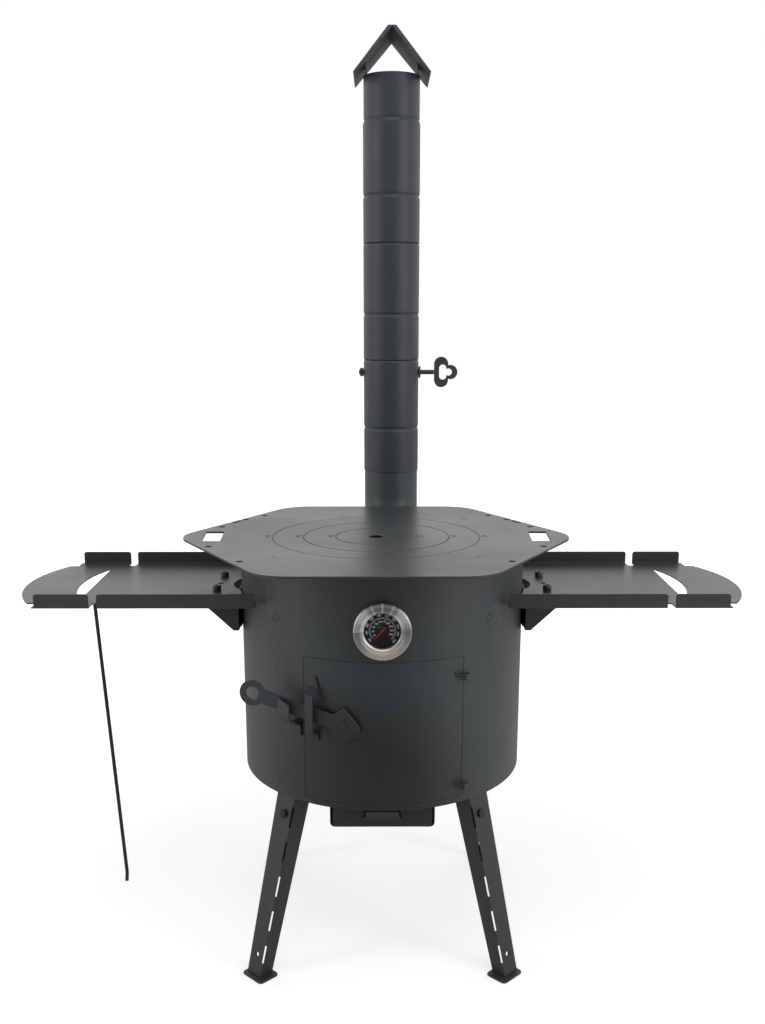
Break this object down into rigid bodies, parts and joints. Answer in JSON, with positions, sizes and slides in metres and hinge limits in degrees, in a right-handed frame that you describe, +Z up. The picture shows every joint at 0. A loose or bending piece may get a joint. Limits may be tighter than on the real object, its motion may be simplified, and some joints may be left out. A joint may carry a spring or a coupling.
{
  "type": "cauldron_stove",
  "caption": "Free-standing cauldron stove: sheet-steel drum on four folded legs, hexagonal hob with nested rings, door, ash drawer, side shelves and a tall chimney.",
  "frame": {"origin": "On the floor, at the middle of the whole stove's bounding box; the drum's axis is 59.9 mm in front of it", "axes": "+Z up, +X to the right of someone facing the door, +Y away from them towards the chimney"},
  "size_m": [1.09, 0.6462, 1.4086],
  "materials": {
    "body_coat": "matt anthracite heat-proof powder coat on sheet steel, fine texture",
    "plate_coat": "matt dark grey coat on flat plates, greyer at grazing angles",
    "blackened_steel": "black fasteners, bars and hidden plates, satin",
    "stainless_steel": "turned stainless steel bezel with round brushing",
    "dial_face": null,
    "pointer_red": "red enamelled needle",
    "gauge_glass": "clear flat glass"
  },
  "bodies": {
    "stove": {"drum_shell": "body_coat", "drum_floor": "blackened_steel", "fire_grate": "blackened_steel", "flue_elbow": "body_coat", "door_stop_strip": "blackened_steel", "hinge_lug_upper": "body_coat", "hinge_lug_lower": "body_coat", "latch_keeper": "body_coat", "drawer_housing": "blackened_steel", "gauge_case": "stainless_steel", "gauge_dial": "dial_face", "gauge_glass": "gauge_glass", "gauge_probe": "stainless_steel", "chimney_pipe_lower": "body_coat", "chimney_pipe_middle": "body_coat", "chimney_pipe_upper": "body_coat", "rain_cap": "body_coat", "leg_front_left": "body_coat", "leg_bracket_front_left": "blackened_steel", "foot_plate_front_left": "body_coat", "leg_bolt_front_left": "blackened_steel", "leg_front_right": "body_coat", "leg_bracket_front_right": "blackened_steel", "foot_plate_front_right": "body_coat", "leg_bolt_front_right": "blackened_steel", "leg_rear_left": "body_coat", "leg_bracket_rear_left": "blackened_steel", "foot_plate_rear_left": "body_coat", "leg_bolt_rear_left": "blackened_steel", "leg_rear_right": "body_coat", "leg_bracket_rear_right": "blackened_steel", "foot_plate_rear_right": "body_coat", "leg_bolt_rear_right": "blackened_steel", "shelf_tray_left": "plate_coat", "shelf_bracket_left": "blackened_steel", "shelf_screw_left_front": "blackened_steel", "shelf_screw_left_back": "blackened_steel", "shelf_tray_right": "plate_coat", "shelf_bracket_right": "blackened_steel", "shelf_screw_right_front": "blackened_steel", "shelf_screw_right_back": "blackened_steel"},
    "door": {"door_panel": "body_coat", "hinge_tab_upper": "body_coat", "hinge_tab_lower": "body_coat", "latch_guide_strap": "body_coat", "latch_rivet": "body_coat"},
    "latch": {"latch_lever": "body_coat"},
    "drawer": {"ash_drawer": "body_coat"},
    "hob": {"hob_plate": "plate_coat"},
    "outer_ring": {"cooking_ring_outer": "plate_coat"},
    "middle_ring": {"cooking_ring_middle": "plate_coat"},
    "inner_ring": {"cooking_ring_inner": "plate_coat"},
    "damper": {"damper_spindle": "blackened_steel", "damper_disc": "blackened_steel", "damper_key": "blackened_steel", "damper_nut": "blackened_steel", "damper_washer": "blackened_steel"},
    "pointer": {"gauge_pointer": "pointer_red"},
    "poker": {"poker": "blackened_steel"}
  },
  "joints": [
    {"name": "door_hinge", "type": "hinge", "parent": "stove", "child": "door", "pos_m": [0.11599, -0.24915, 0.396], "axis": [0, 0, 1], "range_deg": [0, 140]},
    {"name": "latch_lift", "type": "hinge", "parent": "door", "child": "latch", "pos_m": [-0.05434, -0.27305, 0.41], "axis": [0.247, 0.969, 0], "range_deg": [0, 12]},
    {"name": "drawer_slide", "type": "slide", "parent": "stove", "child": "drawer", "axis": [0, -1, 0], "range_m": [0, 0.22]},
    {"name": "hob_lift", "type": "slide", "parent": "stove", "child": "hob", "axis": [0, 0, 1], "range_m": [0, 0.06]},
    {"name": "outer_ring_lift", "type": "slide", "parent": "hob", "child": "outer_ring", "axis": [0, 0, 1], "range_m": [0, 0.04]},
    {"name": "middle_ring_lift", "type": "slide", "parent": "outer_ring", "child": "middle_ring", "axis": [0, 0, 1], "range_m": [0, 0.04]},
    {"name": "inner_ring_lift", "type": "slide", "parent": "middle_ring", "child": "inner_ring", "axis": [0, 0, 1], "range_m": [0, 0.04]},
    {"name": "damper_turn", "type": "hinge", "parent": "stove", "child": "damper", "pos_m": [0.0167, 0.25914, 0.8642], "axis": [1, 0, 0], "continuous": true},
    {"name": "gauge_needle", "type": "hinge", "parent": "stove", "child": "pointer", "pos_m": [0, -0.27886, 0.5487], "axis": [0, 1, 0], "range_deg": [-8, 270]},
    {"name": "poker_draw", "type": "slide", "parent": "stove", "child": "poker", "axis": [-0.0541, 0, 0.9985], "range_m": [0, 0.45]}
  ]
}
